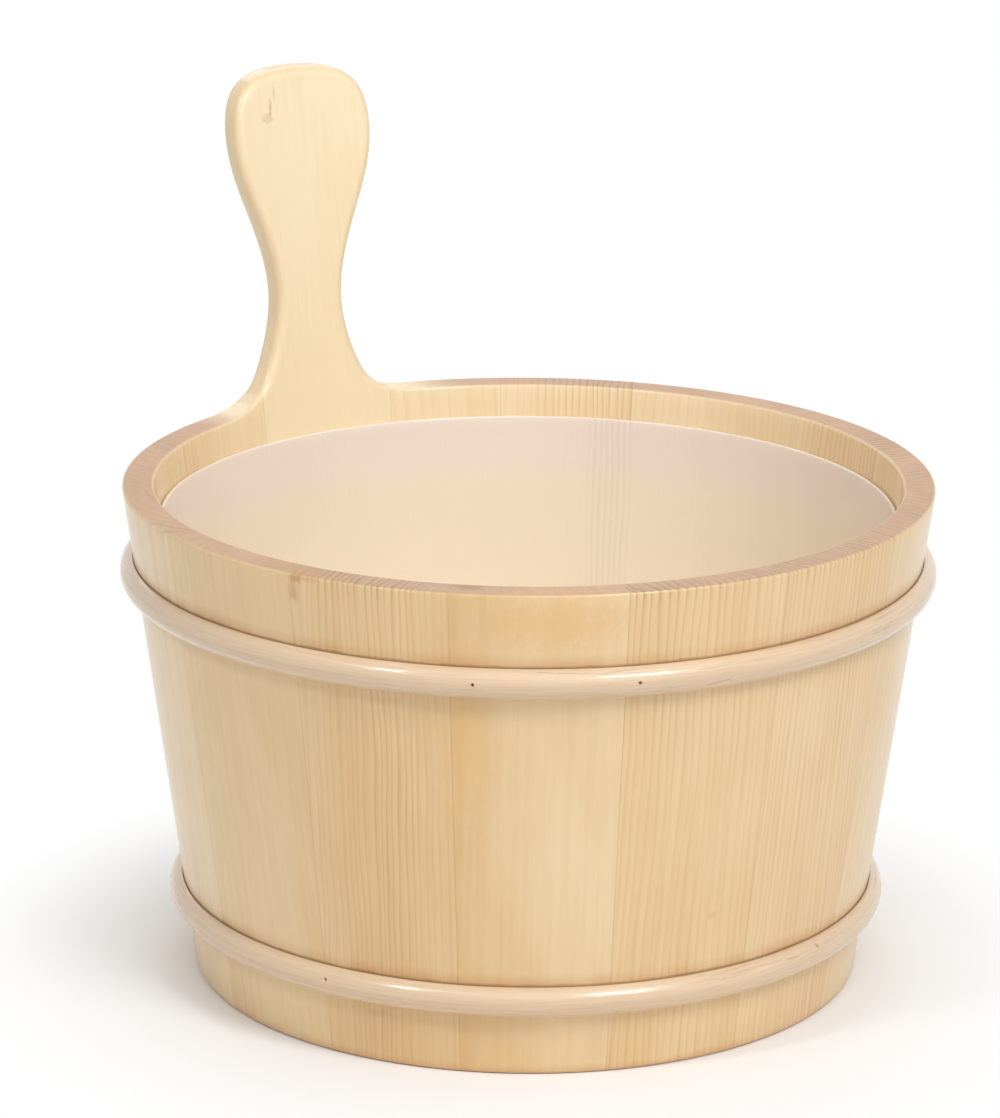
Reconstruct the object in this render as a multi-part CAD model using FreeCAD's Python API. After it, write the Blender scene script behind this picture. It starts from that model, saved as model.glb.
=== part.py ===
"""A small coopered wooden pail with one long handle stave, two cane hoops and a loose plastic liner.

The pail stands on its foot at Z = 0 with its axis on Z, and the handle stave stands at +Y. Fifteen
staves with flat radial edges make a cone. Three bottom boards sit in a groove, the croze, that is
cut round the inside of the staves. Two hoops of half round cane grip the cone and are pinned with
brads, and a thin tapered liner lifts out upwards. All lengths are millimetres.
"""
import FreeCAD, Part
import math
import os

# Pail body
rim_diameter = 250.0
foot_diameter = 207.5
pail_height = 155.0
wall_thickness = 9.6

# Angles that the staves take up round the pail, from the handle stave round through -X
stave_angles = [
    24.6, 23.2, 25.1, 25.0, 25.1, 23.1, 24.1, 23.6,
    23.7, 23.6, 23.7, 23.6, 31.2, 21.8, 18.6,
]

# Handle above the rim, as seen from inside the pail
handle_rise = 107.3
head_width = 51.4
head_height = 85.0
neck_width = 24.5
neck_height = 34.0
neck_offset = 1.15
near_flare_reach = 46.0
far_flare_reach = 35.0
near_flare_shares = [(0.595, 0.038), (0.362, 0.162), (0.169, 0.440)]
far_flare_shares = [(0.389, 0.103), (0.142, 0.382)]
waist_shares = (0.545, 0.549)
crown_shares = (0.852, 0.717)

# Bottom boards and their groove
bottom_recess = 11.0
bottom_thickness = 8.0
croze_depth = 3.5
croze_clearance = 0.1
board_shares = [0.34, 0.32, 0.34]

# Hoops of half round cane, placed by the height of their middle
hoop_radius = 4.65
hoop_clearance = 0.05
hoop_flats = 4
upper_hoop_height = 127.7
lower_hoop_height = 24.8

# Each hoop's ends lap in a long slant, a scarf, whose middle is placed by its angle from the handle
scarf_sweep_angle = 44.0
scarf_gap = 0.25
upper_scarf_angle = 150.7
lower_scarf_angle = 179.0

# Headless brads, each placed by its angle from the handle and its share of the hoop's half width up
brad_diameter = 0.9
brad_flats = 6
brad_length = 10.0
brad_sink = 0.9
brad_clearance = 0.03
upper_brad_angles = [137.2, 159.3]
upper_brad_shares = [0.2, 0.2]
lower_brad_angles = [112.2, 158.7, 197.1]
lower_brad_shares = [0.4, -0.65, 0.7]

# Liner
liner_below_rim = 10.1
liner_wall = 1.2
liner_base = 1.6
liner_clearance = 0.3

overrun = 5.0

full_turn = 360.0
handle_at = 90.0

rim_radius = rim_diameter / 2
foot_radius = foot_diameter / 2
taper = (rim_radius - foot_radius) / pail_height
lean = math.atan(taper)
wall_across = wall_thickness / math.cos(lean)

up = FreeCAD.Vector(0, 0, 1)
origin = FreeCAD.Vector(0, 0, 0)


def outer_radius(z):
    """Radius of the outside of the staves at a height."""
    return foot_radius + taper * z


def inner_radius(z):
    """Radius of the inside of the staves at a height."""
    return outer_radius(z) - wall_across


def section(corners):
    """A face in the XZ plane with straight edges between its corners, each given as (x, z)."""
    points = [FreeCAD.Vector(x, 0, z) for x, z in corners]
    return Part.Face(Part.makePolygon(points + points[:1]))


def turned(face, start=0.0, sweep=full_turn):
    """The face turned about the pail's axis, from a start angle measured from +X."""
    blank = face.copy()
    blank.rotate(origin, up, start)
    return blank.revolve(origin, up, sweep)


def wall_section(top):
    """Section of the staves up to a height, with the croze cut in its inner side."""
    croze_low = bottom_recess - croze_clearance
    croze_high = bottom_recess + bottom_thickness + croze_clearance
    croze_floor = inner_radius(croze_high) + croze_depth
    return section([
        (outer_radius(0), 0),
        (outer_radius(top), top),
        (inner_radius(top), top),
        (inner_radius(croze_high), croze_high),
        (croze_floor, croze_high),
        (croze_floor, croze_low),
        (inner_radius(croze_low), croze_low),
        (inner_radius(0), 0),
    ])


def stave_edges():
    """Angles from the handle of the two edges of every stave, the handle stave first."""
    turn = -stave_angles[0] / 2
    edges = []
    for angle in stave_angles:
        width = full_turn * angle / sum(stave_angles)
        edges.append((turn, turn + width))
        turn += width
    return edges


def flare(side, reach, shares):
    """Points up one flare, from the neck's own half width out to the flare's reach."""
    half = neck_width / 2 + side * neck_offset
    points = []
    for across_share, rise_share in shares:
        across = half + across_share * (reach - half)
        points.append((-side * across, pail_height + rise_share * neck_height))
    return points


def handle_outline():
    """Face of all that stands below the rim and handle line, seen along Y from inside the pail."""
    neck_half = neck_width / 2
    head_half = head_width / 2
    waist_across = neck_half + waist_shares[0] * (head_half - neck_half)
    waist_up = pail_height + neck_height + waist_shares[1] * (head_height - neck_height)
    crown_across = crown_shares[0] * head_half
    crown_up = pail_height + head_height + crown_shares[1] * (handle_rise - head_height)
    near = [(-near_flare_reach, pail_height)]
    near += flare(1, near_flare_reach, near_flare_shares)
    near.append((-neck_half - neck_offset, pail_height + neck_height))
    far = [(far_flare_reach, pail_height)]
    far += flare(-1, far_flare_reach, far_flare_shares)
    far.append((neck_half - neck_offset, pail_height + neck_height))
    head = [
        (-waist_across, waist_up),
        (-head_half, pail_height + head_height),
        (-crown_across, crown_up),
        (0, pail_height + handle_rise),
        (crown_across, crown_up),
        (head_half, pail_height + head_height),
        (waist_across, waist_up),
    ]
    points = [FreeCAD.Vector(x, 0, z) for x, z in near + head + far[::-1]]
    curve = Part.BSplineCurve()
    level = FreeCAD.Vector(1, 0, 0)
    curve.interpolate(Points=points, InitialTangent=level, FinalTangent=level, Scale=False)
    side = rim_radius + overrun
    corners = [
        points[-1],
        FreeCAD.Vector(side, 0, pail_height),
        FreeCAD.Vector(side, 0, -overrun),
        FreeCAD.Vector(-side, 0, -overrun),
        FreeCAD.Vector(-side, 0, pail_height),
        points[0],
    ]
    lines = [Part.makeLine(a, b) for a, b in zip(corners[:-1], corners[1:])]
    return Part.Face(Part.Wire([curve.toShape()] + lines))


def make_staves():
    """All staves by name. The handle stave and its two neighbours are cut to one shared outline."""
    top = pail_height + handle_rise + overrun
    outline = handle_outline().extrude(FreeCAD.Vector(0, outer_radius(top), 0))
    edges = stave_edges()
    staves = {}
    for index, (start, end) in enumerate(edges):
        if index == 0:
            name, height = "handle_stave", top
        elif index in (1, len(edges) - 1):
            name, height = "stave_%02d" % index, pail_height + neck_height
        else:
            name, height = "stave_%02d" % index, pail_height
        stave = turned(wall_section(height), handle_at + start, end - start)
        staves[name] = stave.common(outline) if height > pail_height else stave
    return staves


def make_bottom():
    """Three edge glued boards whose rim enters the croze."""
    tongue = inner_radius(bottom_recess + bottom_thickness) + croze_depth - croze_clearance
    disc = Part.makeCylinder(tongue, bottom_thickness, FreeCAD.Vector(0, 0, bottom_recess))
    boards = {}
    left = -tongue
    names = ("bottom_board_left", "bottom_board_middle", "bottom_board_right")
    for name, share in zip(names, board_shares):
        width = 2 * tongue * share / sum(board_shares)
        corner = FreeCAD.Vector(left, -tongue, bottom_recess)
        cutter = Part.makeBox(width, 2 * tongue, bottom_thickness, corner)
        boards[name] = disc.common(cutter)
        left += width
    return boards


def hoop_section(height):
    """Half round cane lying on the slope of the wall, its crown made of a few flats."""
    corners = []
    for step in range(hoop_flats + 1):
        turn = math.pi * step / hoop_flats
        up_wall = hoop_radius * math.cos(turn)
        off_wall = hoop_radius * math.sin(turn) + hoop_clearance
        x = outer_radius(height) + up_wall * math.sin(lean) + off_wall * math.cos(lean)
        z = height + up_wall * math.cos(lean) - off_wall * math.sin(lean)
        corners.append((x, z))
    return section(corners)


def scarf(height, at):
    """Thin slot, part of a tube set off to one side, that crosses a hoop on a long slant."""
    thickness = hoop_radius * (1 + 2 * math.sin(lean))
    offset = thickness / 2 / math.sin(math.radians(scarf_sweep_angle / 2))
    radius = outer_radius(height) + hoop_radius / 2
    sideways = math.radians(handle_at + at) - math.pi / 2
    foot = height - 2 * hoop_radius
    centre = FreeCAD.Vector(offset * math.cos(sideways), offset * math.sin(sideways), foot)
    slot = Part.makeCylinder(radius + scarf_gap / 2, 4 * hoop_radius, centre)
    slot = slot.cut(Part.makeCylinder(radius - scarf_gap / 2, 4 * hoop_radius, centre))
    far_side = Part.makeBox(2 * rim_diameter, rim_diameter, pail_height)
    far_side.translate(FreeCAD.Vector(-rim_diameter, -rim_diameter, 0))
    far_side.rotate(origin, up, at)
    return slot.cut(far_side)


def brad(hoop_height, at, up_share, clearance):
    """A headless brad driven square to the wall and set below the crown, or its pilot hole.

    Like the hoops it is drawn with a few flats, and its corners lie on its diameter.
    """
    crown = hoop_clearance + hoop_radius * math.sqrt(1 - up_share ** 2)
    top = crown - brad_sink
    tip = top - brad_length - clearance
    if clearance > 0:
        top += overrun
    height = hoop_height + hoop_radius * up_share * math.cos(lean)
    radius = brad_diameter / 2 + clearance
    corners = []
    for step in range(brad_flats + 1):
        turn = 2 * math.pi * (step % brad_flats) / brad_flats
        corners.append(FreeCAD.Vector(radius * math.cos(turn), radius * math.sin(turn), tip))
    shape = Part.Face(Part.makePolygon(corners)).extrude(FreeCAD.Vector(0, 0, top - tip))
    shape.rotate(origin, FreeCAD.Vector(0, 1, 0), full_turn / 4 + math.degrees(lean))
    shape.translate(FreeCAD.Vector(outer_radius(height), 0, height))
    shape.rotate(origin, up, handle_at + at)
    return shape


def make_hoops(staves):
    """Both hoops and their brads, with pilot holes cut in the hoops and in the staves behind."""
    rings = {
        "upper_hoop": (
            upper_hoop_height, upper_scarf_angle, zip(upper_brad_angles, upper_brad_shares)),
        "lower_hoop": (
            lower_hoop_height, lower_scarf_angle, zip(lower_brad_angles, lower_brad_shares)),
    }
    pieces = {}
    for name, (height, scarf_at, places) in rings.items():
        ring = turned(hoop_section(height)).cut(scarf(height, scarf_at))
        brads = []
        for at, up_share in places:
            hole = brad(height, at, up_share, brad_clearance)
            ring = ring.cut(hole)
            for (start, end), stave in zip(stave_edges(), staves):
                if start <= at <= end:
                    staves[stave] = staves[stave].cut(hole)
            brads.append(brad(height, at, up_share, 0))
        pieces[name] = ring
        pieces[name + "_brads"] = Part.makeCompound(brads)
    return pieces


def make_liner():
    """A thin tapered cup that rests on the bottom boards just clear of the staves."""
    base = bottom_recess + bottom_thickness
    floor = base + liner_base
    top = pail_height - liner_below_rim
    inset = liner_clearance + liner_wall
    return turned(section([
        (0, base),
        (inner_radius(base) - liner_clearance, base),
        (inner_radius(top) - liner_clearance, top),
        (inner_radius(top) - inset, top),
        (inner_radius(floor) - inset, floor),
        (0, floor),
    ]))


def main():
    os.makedirs("parts", exist_ok=True)
    staves = make_staves()
    pieces = make_hoops(staves)
    pieces.update(staves)
    pieces.update(make_bottom())
    pieces["plastic_liner"] = make_liner()
    for name, shape in pieces.items():
        shape.exportStep("parts/%s.step" % name)
        print(name, len(shape.Solids), round(shape.Volume), shape.isValid())


main()
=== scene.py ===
import math

import bmesh
import bpy
import numpy as np
from bpy.props import FloatProperty, FloatVectorProperty, PointerProperty
from mathutils import Matrix, Vector


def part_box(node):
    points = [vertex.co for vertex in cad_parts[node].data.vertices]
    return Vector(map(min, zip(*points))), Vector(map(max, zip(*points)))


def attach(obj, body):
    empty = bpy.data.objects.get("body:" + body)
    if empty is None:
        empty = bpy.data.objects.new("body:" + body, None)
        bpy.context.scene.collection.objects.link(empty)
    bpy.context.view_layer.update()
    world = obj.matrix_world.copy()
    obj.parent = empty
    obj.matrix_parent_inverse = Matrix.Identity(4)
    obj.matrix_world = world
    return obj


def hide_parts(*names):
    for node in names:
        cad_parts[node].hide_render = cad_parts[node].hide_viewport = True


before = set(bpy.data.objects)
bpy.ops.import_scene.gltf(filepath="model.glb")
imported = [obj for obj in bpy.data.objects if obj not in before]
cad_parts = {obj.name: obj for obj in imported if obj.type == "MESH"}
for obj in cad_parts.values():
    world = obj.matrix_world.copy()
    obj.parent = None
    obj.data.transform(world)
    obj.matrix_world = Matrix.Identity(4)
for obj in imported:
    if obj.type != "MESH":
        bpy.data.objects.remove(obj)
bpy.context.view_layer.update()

bl_info = {
    "name": "Wooden Piggin",
    "version": (1, 0, 0),
    "blender": (4, 5, 0),
    "location": "View3D > Sidebar > Piggin",
    "description": "Dresses a coopered pine piggin with its staves, cane hoops and liner",
    "category": "Add Mesh",
}

MM = 0.001

# Points of a mesh that lie closer than this are merged (mm)
MERGED_UNDER = 0.002

# Angles in degrees that the staves take up round the pail, the handle stave first, then from -X round
STAVE_ANGLES = np.array([
    24.6, 23.2, 25.1, 25.0, 25.1, 23.1, 24.1, 23.6,
    23.7, 23.6, 23.7, 23.6, 31.2, 21.8, 18.6,
])
FIRST_STAVE, LAST_STAVE = 1, len(STAVE_ANGLES) - 1

# The handle's outline from the -X flare over the crown to the +X flare, in mm across and above the rim.
# The rims of the staves beside the handle follow it up to the flare's top
HANDLE_OUTLINE = np.array([
    (-46.0, 0.0), (-32.8, 1.29), (-25.2, 5.51), (-18.91, 14.96), (-13.4, 34.0),
    (-19.58, 62.0), (-25.7, 85.0), (-21.9, 100.99), (0.0, 107.3), (21.9, 100.99),
    (25.7, 85.0), (19.58, 62.0), (11.1, 34.0), (14.49, 12.99), (20.4, 3.5), (35.0, 0.0),
])
FLARE_TOP = 15.0

# How each board was sawn: where the tree's middle lies from the board's middle, across and inwards (mm),
# the slant of the grain, the slope of the growth cones, the ring spacing (mm), then at the board's left,
# middle and right, seen from outside, how deep its tone is and how strongly its rings show
SAWN = [
    (-90.0, 14.0, 0.006, 0.010, 3.2, (0.04, 0.00, 0.03), (0.06, 0.03, 0.05)),
    (62.0, 18.0, 0.010, 0.012, 3.0, (0.14, 0.40, 0.58), (0.12, 0.22, 0.40)),
    (40.0, 30.0, -0.010, 0.020, 3.2, (0.62, 0.60, 0.66), (0.40, 0.30, 0.35)),
    (15.0, 46.0, 0.008, 0.030, 4.2, (0.66, 0.62, 0.62), (0.30, 0.30, 0.45)),
    (-60.0, 30.0, 0.010, 0.015, 3.6, (0.68, 0.70, 0.78), (0.30, 0.12, 0.05)),
    (-96.0, 12.0, -0.030, 0.006, 2.1, (0.76, 0.88, 0.80), (0.50, 1.25, 0.55)),
    (30.0, 52.0, -0.012, 0.030, 4.8, (0.96, 0.66, 0.58), (0.25, 0.05, 0.08)),
    (-88.0, 10.0, 0.004, 0.004, 2.5, (0.80, 0.76, 0.74), (1.00, 0.55, 0.45)),
    (-92.0, 6.0, 0.028, 0.006, 2.1, (0.68, 0.74, 0.80), (0.80, 1.00, 1.00)),
    (50.0, 28.0, -0.010, 0.020, 3.0, (0.74, 0.72, 0.72), (0.40, 0.35, 0.40)),
    (-64.0, 20.0, 0.012, 0.010, 2.8, (0.55, 0.50, 0.50), (0.55, 0.50, 0.60)),
    (84.0, 8.0, 0.010, 0.006, 2.4, (0.58, 0.46, 0.38), (1.05, 0.80, 0.50)),
    (70.0, 20.0, 0.006, 0.012, 2.8, (0.34, 0.24, 0.24), (0.40, 0.28, 0.60)),
    (-84.0, 8.0, 0.004, 0.006, 2.2, (0.36, 0.18, 0.18), (1.60, 0.70, 0.25)),
    (30.0, 40.0, -0.006, 0.020, 3.4, (0.16, 0.13, 0.07), (0.35, 0.25, 0.40)),
]

# The bottom boards from -X: where the tree's middle lies, across and up (mm), and the tone
BOTTOM_SAWN = [(-40.0, 30.0, 0.55), (12.0, 44.0, 0.65), (55.0, 16.0, 0.60)]
BOTTOM_CONTRAST, BOTTOM_CONE, BOTTOM_SPACING = 0.6, 0.02, 3.4

# Millimetres along the grain between one board and the next, so that their noise differs
STAVE_STEP, BOTTOM_STEP, BOTTOM_START = 730.0, 410.0, 90.0

# The handle's sides are deeper in tone than its faces. Where the outline turns level, from a share of level
# on, they show a little end grain
SIDE_TONE = 0.42
CROWN_END, CROWN_LEVEL = 0.15, 0.4

# Over what rise above the rim the rounding of the edges grows from the rim's to the handle's (mm)
ROUNDING_RISE = 8.0

# Rows of a stave: beside the groove, the first and last plain ones above the groove and below the rim, and
# those near the rim, below it (mm)
GROOVE_BESIDE, PLAIN_ABOVE, PLAIN_BELOW = 0.3, 6.0, 25.0
RIM_ROWS = (21.0, 17.0, 13.0, 9.0, 6.0, 4.5)

# Beside the handle: the share of end grain at the joint, and over how far along the rim it grows to all
# of it, then how far below the rim the flare lifts a stave in full, and over how far that fades (mm)
RIM_END_LEAST, RIM_END_REACH = 0.12, 28.0
LIFT_WHOLE, LIFT_FADE = 4.0, 18.0

# Marks on the staves: middle and reach (mm), how ragged, how strong, and which colour
MARKS = [
    ((-116.0, -46.5, 154.0), (3.4, 3.4, 2.6), 0.9, 0.60, "knot"),
    ((-115.6, -45.2, 149.5), (2.2, 2.2, 6.0), 1.2, 0.45, "knot"),
    ((-114.0, -50.0, 154.5), (5.5, 5.5, 2.0), 1.1, 0.30, "knot"),
    ((-81.0, -84.0, 155.0), (6.0, 6.0, 1.2), 0.8, 0.35, "dirt_and_shade"),
    ((-63.0, -104.0, 147.0), (30.0, 26.0, 13.0), 1.1, 0.46, "warm"),
    ((-83.0, -85.0, 108.0), (13.0, 13.0, 46.0), 1.2, 0.30, "warm"),
    ((-10.8, -109.8, 47.9), (2.4, 2.4, 1.8), 0.5, 0.25, "late_wood"),
    ((-13.2, 127.4, 247.6), (2.8, 4.0, 3.0), 2.4, 0.30, "late_wood"),
    ((-11.6, 127.9, 250.4), (0.8, 4.0, 3.6), 1.8, 0.30, "dirt_and_shade"),
    ((-9.8, 128.6, 255.2), (0.6, 4.0, 3.2), 1.8, 0.26, "dirt_and_shade"),
]

# Brads in each hoop: degrees from the handle, and share of the hoop's half width up
BRADS = {
    "upper": [(137.2, 0.2), (159.3, 0.2)],
    "lower": [(112.2, 0.4), (158.7, -0.65), (197.1, 0.7)],
}

# The pit pressed round each brad: radius of its floor, width of its slope, and how far along the hoop (mm)
# and round its section (radians) the grid is fine
PIT_FLOOR, PIT_SLOPE, PIT_ALONG, PIT_ROUND = 0.34, 0.24, 1.3, 0.3

# The middle of each hoop's scarf and half of its sweep, in degrees from the handle, and the distance to its
# line that is written elsewhere on the hoop (mm)
SCARF_AT = {"upper": 150.7, "lower": 179.0}
SCARF_REACH, NO_SCARF = 22.0, 9.0

# Where the liner's paler band starts and is full (mm up). Round one direction, in radians from +X, the
# rings of the wood behind show: where they end, where they are full, how many lie in a radian, and
# between which heights they fade in (mm)
LINER_BAND = (122.0, 132.0)
RINGS_BEHIND_AT, RINGS_BEHIND_REACH, RINGS_BEHIND = 0.705, (0.085, 0.045), 54.0
RINGS_BEHIND_UP = (28.0, 45.0)

# The camera: focal length in pixels of a picture 1118 high, its sensor (mm), degrees round from -Y, up and
# rolled, where it looks, right of and above the middle of the foot (mm), metres away and how far it sees
FOCAL_LENGTH, PICTURE_HEIGHT, SENSOR_HEIGHT = 5046.2, 1118, 36.0
CAMERA_TURN, CAMERA_PITCH, CAMERA_ROLL = -35.3, 16.445, 0.343
AIM_RIGHT, AIM_UP, CAMERA_AWAY, CAMERA_SEES = -8.726, 128.93, 1.5612, 20.0

# Lamps: degrees round from -Y towards +X, degrees up, metres away, side in metres, watts
LAMPS = (
    ("lamp_left", -83.0, 48.0, 2.4, 0.32, 9.5),
    ("lamp_right", 1.0, 48.0, 2.4, 0.7, 22.0),
    ("lamp_high", -15.0, 56.0, 2.4, 2.6, 20.0),
    ("lamp_back", 150.0, 40.0, 2.4, 1.6, 11.0),
)
LAMPS_AIM = (0.0, 0.0, 0.12)
SURROUND = 0.28

# The floor's first ring and its reach, and between which radii it fades from its shadows to the white
# backdrop, in metres
FLOOR_START, FLOOR_REACH = 0.05, 6.0
FLOOR_FADE = (0.09, 0.19)
WHITE = (1.0, 1.0, 1.0, 1.0)


def length(name, text, default):
    """A size that the panel shows in millimetres."""
    return FloatProperty(
        name=name, description=text, default=default * MM, min=0.0, precision=5,
        unit="LENGTH", subtype="DISTANCE")


def top_of(name, text, node):
    """A height that is the top of a CAD node."""
    return length(name, text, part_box(node)[1].z / MM)


def colour(name, text, default):
    """A colour given in the sRGB values that a picture shows, kept linear."""
    share = np.array(default) / 255
    linear = np.where(share <= 0.04045, share / 12.92, ((share + 0.055) / 1.055) ** 2.4)
    return FloatVectorProperty(
        name=name, description=text, default=linear.tolist(), subtype="COLOR", size=3,
        min=0.0, max=1.0)


class PigginSizes(bpy.types.PropertyGroup):
    """Sizes of the pieces that are built here."""

    rim_radius: length("Rim radius", "Outside of the staves at the rim", 125.0)
    foot_radius: length("Foot radius", "Outside of the staves at the foot", 103.75)
    height: top_of("Height", "From the foot to the rim", "stave_07")
    wall: length("Wall", "Thickness of the staves", 9.6)
    rim_rounding: length("Rim rounding", "Radius on the rim's edges", 0.9)
    handle_rounding: length("Handle rounding", "Radius on the handle's edges", 2.7)
    foot_rounding: length("Foot rounding", "Radius on the foot", 1.2)
    joint_ease: length("Joint ease", "Radius on a stave's long edges", 0.12)
    board_low: length("Board underside", "Height of the bottom boards' underside", 11.0)
    board_high: length("Board top", "Height of the bottom boards' top", 19.0)
    board_ease: length("Board ease", "Radius on the bottom boards' edges", 0.35)
    board_slack: length("Board slack", "Gap between a bottom board and the groove", 0.1)
    croze_depth: length("Croze depth", "Depth of the groove for the bottom", 3.5)
    hoop_radius: length("Hoop radius", "Half width of the half round cane", 4.65)
    hoop_edge: length("Hoop edge", "Radius on the cane's two edges", 0.35)
    hoop_gap: length("Hoop gap", "Gap between a hoop and the wall", 0.05)
    upper_hoop: length("Upper hoop", "Height of the upper hoop's middle", 127.7)
    lower_hoop: length("Lower hoop", "Height of the lower hoop's middle", 24.8)
    brad_radius: length("Brad radius", "Radius of a brad", 0.45)
    brad_length: length("Brad length", "Length of a brad", 10.0)
    brad_sink: length("Brad sink", "Depth of a brad's top below the crown", 0.9)
    liner_top: top_of("Liner top", "Height of the liner's edge", "plastic_liner")
    liner_wall: length("Liner wall", "Thickness of the liner's wall", 1.2)
    liner_base: length("Liner base", "Thickness of the liner's base", 1.6)
    liner_gap: length("Liner gap", "Gap between the liner and the staves", 0.3)
    liner_corner: length("Liner corner", "Outside radius where the wall meets the base", 9.0)


class PigginColours(bpy.types.PropertyGroup):
    """Colours of the finishes."""

    early_wood: colour("Early wood", "Pale wood between the rings", (255, 235, 196))
    late_wood: colour("Late wood", "Darker line of each ring", (208, 153, 90))
    deep_wood: colour("Deep wood", "Warm clouds and darker boards", (226, 188, 130))
    end_grain: colour("End grain", "Cut ends of the staves", (196, 157, 122))
    knot: colour("Knot", "Knot and resin", (198, 136, 78))
    warm: colour("Warm wood", "Warm patches of a board", (230, 180, 110))
    cane: colour("Cane", "Half round cane", (226, 199, 167))
    cane_fibre: colour("Cane fibre", "Fibres along the cane", (216, 182, 148))
    # Dust and stains, and also painted shade: in the crevice above each hoop, along the cane's corners by
    # the wall and in the brads' pits
    dirt_and_shade: colour("Dirt", "Dust and varnish in the corners", (112, 68, 28))
    steel: colour("Steel", "Darkened brads", (66, 54, 46))
    liner: colour("Liner", "Milky plastic below its edge band", (255, 240, 218))
    liner_band: colour("Liner band", "Paler band at the liner's edge", (255, 240, 227))
    floor: colour("Floor", "Studio floor", (246, 246, 246))


def both_ways(operation):
    """An operator of Shade and its reflected form, as two methods that each add one Math node."""

    def plain(self, other):
        return self.math(operation, self, other)

    def reflected(self, other):
        return self.math(operation, other, self)

    return plain, reflected


class Shade:
    """A socket of a node tree that works as a number: each operator adds its Math node.

    One with no socket stands for the tree itself, and only adds nodes.
    """

    def __init__(self, tree, socket=None):
        self.tree = tree
        self.socket = socket

    def node(self, kind, settings=(), sockets=(), out=0):
        """Adds a node of a type, sets its settings, then the values or links of its sockets."""
        node = self.tree.nodes.new(kind)
        for name, value in dict(settings).items():
            setattr(node, name, value)
        for name, value in dict(sockets).items():
            if isinstance(value, Shade):
                self.tree.links.new(value.socket, node.inputs[name])
            else:
                node.inputs[name].default_value = value
        return Shade(self.tree, node.outputs[out])

    def math(self, operation, *values):
        """Adds a Math node on values and links."""
        return self.node("ShaderNodeMath", {"operation": operation}, dict(enumerate(values)))

    __add__, __radd__ = both_ways("ADD")
    __sub__, __rsub__ = both_ways("SUBTRACT")
    __mul__, __rmul__ = both_ways("MULTIPLY")
    __truediv__, __rtruediv__ = both_ways("DIVIDE")
    __pow__, __rpow__ = both_ways("POWER")

    def abs(self):
        """The number without its sign."""
        return self.math("ABSOLUTE", self)

    def fract(self):
        """What the number has past its whole part."""
        return self.math("FRACT", self)

    def step(self, low, high, first=0.0, last=1.0):
        """Goes smoothly from first at low to last at high."""
        return self.node(
            "ShaderNodeMapRange", {"interpolation_type": "SMOOTHSTEP"},
            {"Value": self, "From Min": low, "From Max": high, "To Min": first, "To Max": last})

    def parts(self):
        """The three parts of a vector."""
        return (self.node("ShaderNodeSeparateXYZ", (), {"Vector": self}, axis) for axis in "XYZ")

    def stretch(self, x, y, z):
        """The vector with each part multiplied."""
        return self.node(
            "ShaderNodeVectorMath", {"operation": "MULTIPLY"}, {0: self, 1: (x, y, z)})

    def seen_from(self, centre):
        """The vector less a fixed one."""
        return self.node(
            "ShaderNodeVectorMath", {"operation": "SUBTRACT"}, {0: self, 1: centre})

    def length(self):
        """The length of the vector."""
        return self.node("ShaderNodeVectorMath", {"operation": "LENGTH"}, {0: self}, "Value")

    def noise(self, x, y, z, detail=2.0, roughness=0.5):
        """Noise from 0 to 1 at the vector, with so many lumps to a unit along each axis."""
        return self.node(
            "ShaderNodeTexNoise", {"normalize": True},
            {"Vector": self.stretch(x, y, z), "Scale": 1.0, "Detail": detail,
             "Roughness": roughness})

    def blend(self, other, share):
        """This colour mixed towards another by a share."""
        return self.node("ShaderNodeMix", {"data_type": "RGBA"}, {0: share, 6: self, 7: other}, 2)

    def times(self, share):
        """This colour made darker or lighter by a share, the same for its three parts."""
        return self.node(
            "ShaderNodeVectorMath", {"operation": "SCALE"}, {0: self, "Scale": share})


class Finish:
    """A material that is being made: its node tree, its shader and a root that adds nodes."""

    def __init__(self, name, colours, constants):
        self.colours = colours
        self.material = bpy.data.materials.new(name)
        self.material.use_nodes = True
        self.tree = self.material.node_tree
        self.shader = self.tree.nodes["Principled BSDF"]
        for socket, value in constants.items():
            self.shader.inputs[socket].default_value = value
        self.root = Shade(self.tree)

    def attribute(self, name):
        """A vector that the mesh carries."""
        return self.root.node("ShaderNodeAttribute", {"attribute_name": name}, (), "Vector")

    def place(self):
        """Position on the object in millimetres."""
        found = self.root.node("ShaderNodeTexCoord", (), (), "Object")
        return found.stretch(1 / MM, 1 / MM, 1 / MM)

    def tint(self, name):
        """One of the panel's colours as a socket."""
        shade = self.root.node("ShaderNodeRGB")
        shade.socket.default_value = (*getattr(self.colours, name), 1.0)
        return shade

    def use(self, socket, value):
        """Feeds a socket of the shader."""
        self.tree.links.new(value.socket, self.shader.inputs[socket])

    def relief(self, height, distance, strength=1.0):
        """Bumps the surface by a height from 0 to 1."""
        self.use("Normal", self.root.node(
            "ShaderNodeBump", (), {"Height": height, "Distance": distance, "Strength": strength}))


def rings(grain, cone, spacing):
    """How late in its ring the wood is at a place in the tree, from 0 to 1.

    The ring count is the distance from the tree's middle, bent by slow noise and leant by the growth
    cone, over the spacing. Each ring darkens slowly and ends sharply.
    """
    x, y, z = grain.parts()
    bend = grain.noise(0.045, 0.045, 0.009) - 0.5
    ripple = grain.noise(0.22, 0.22, 0.03) - 0.5
    radius = (x * x + y * y) ** 0.5 + bend * 7.0 + ripple * 1.3
    count = (radius - cone * z) / spacing
    uneven = grain.node(
        "ShaderNodeTexNoise", {"noise_dimensions": "1D", "normalize": True},
        {"W": count * 0.37, "Scale": 1.0, "Detail": 2.0})
    ring = (count + uneven * 1.1).fract()
    darkening = ring.step(0.15, 0.90) * (0.35 + ring.step(0.55, 0.90) * 0.65)
    return darkening * ring.step(0.90, 1.0, 1.0, 0.0)


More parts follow.
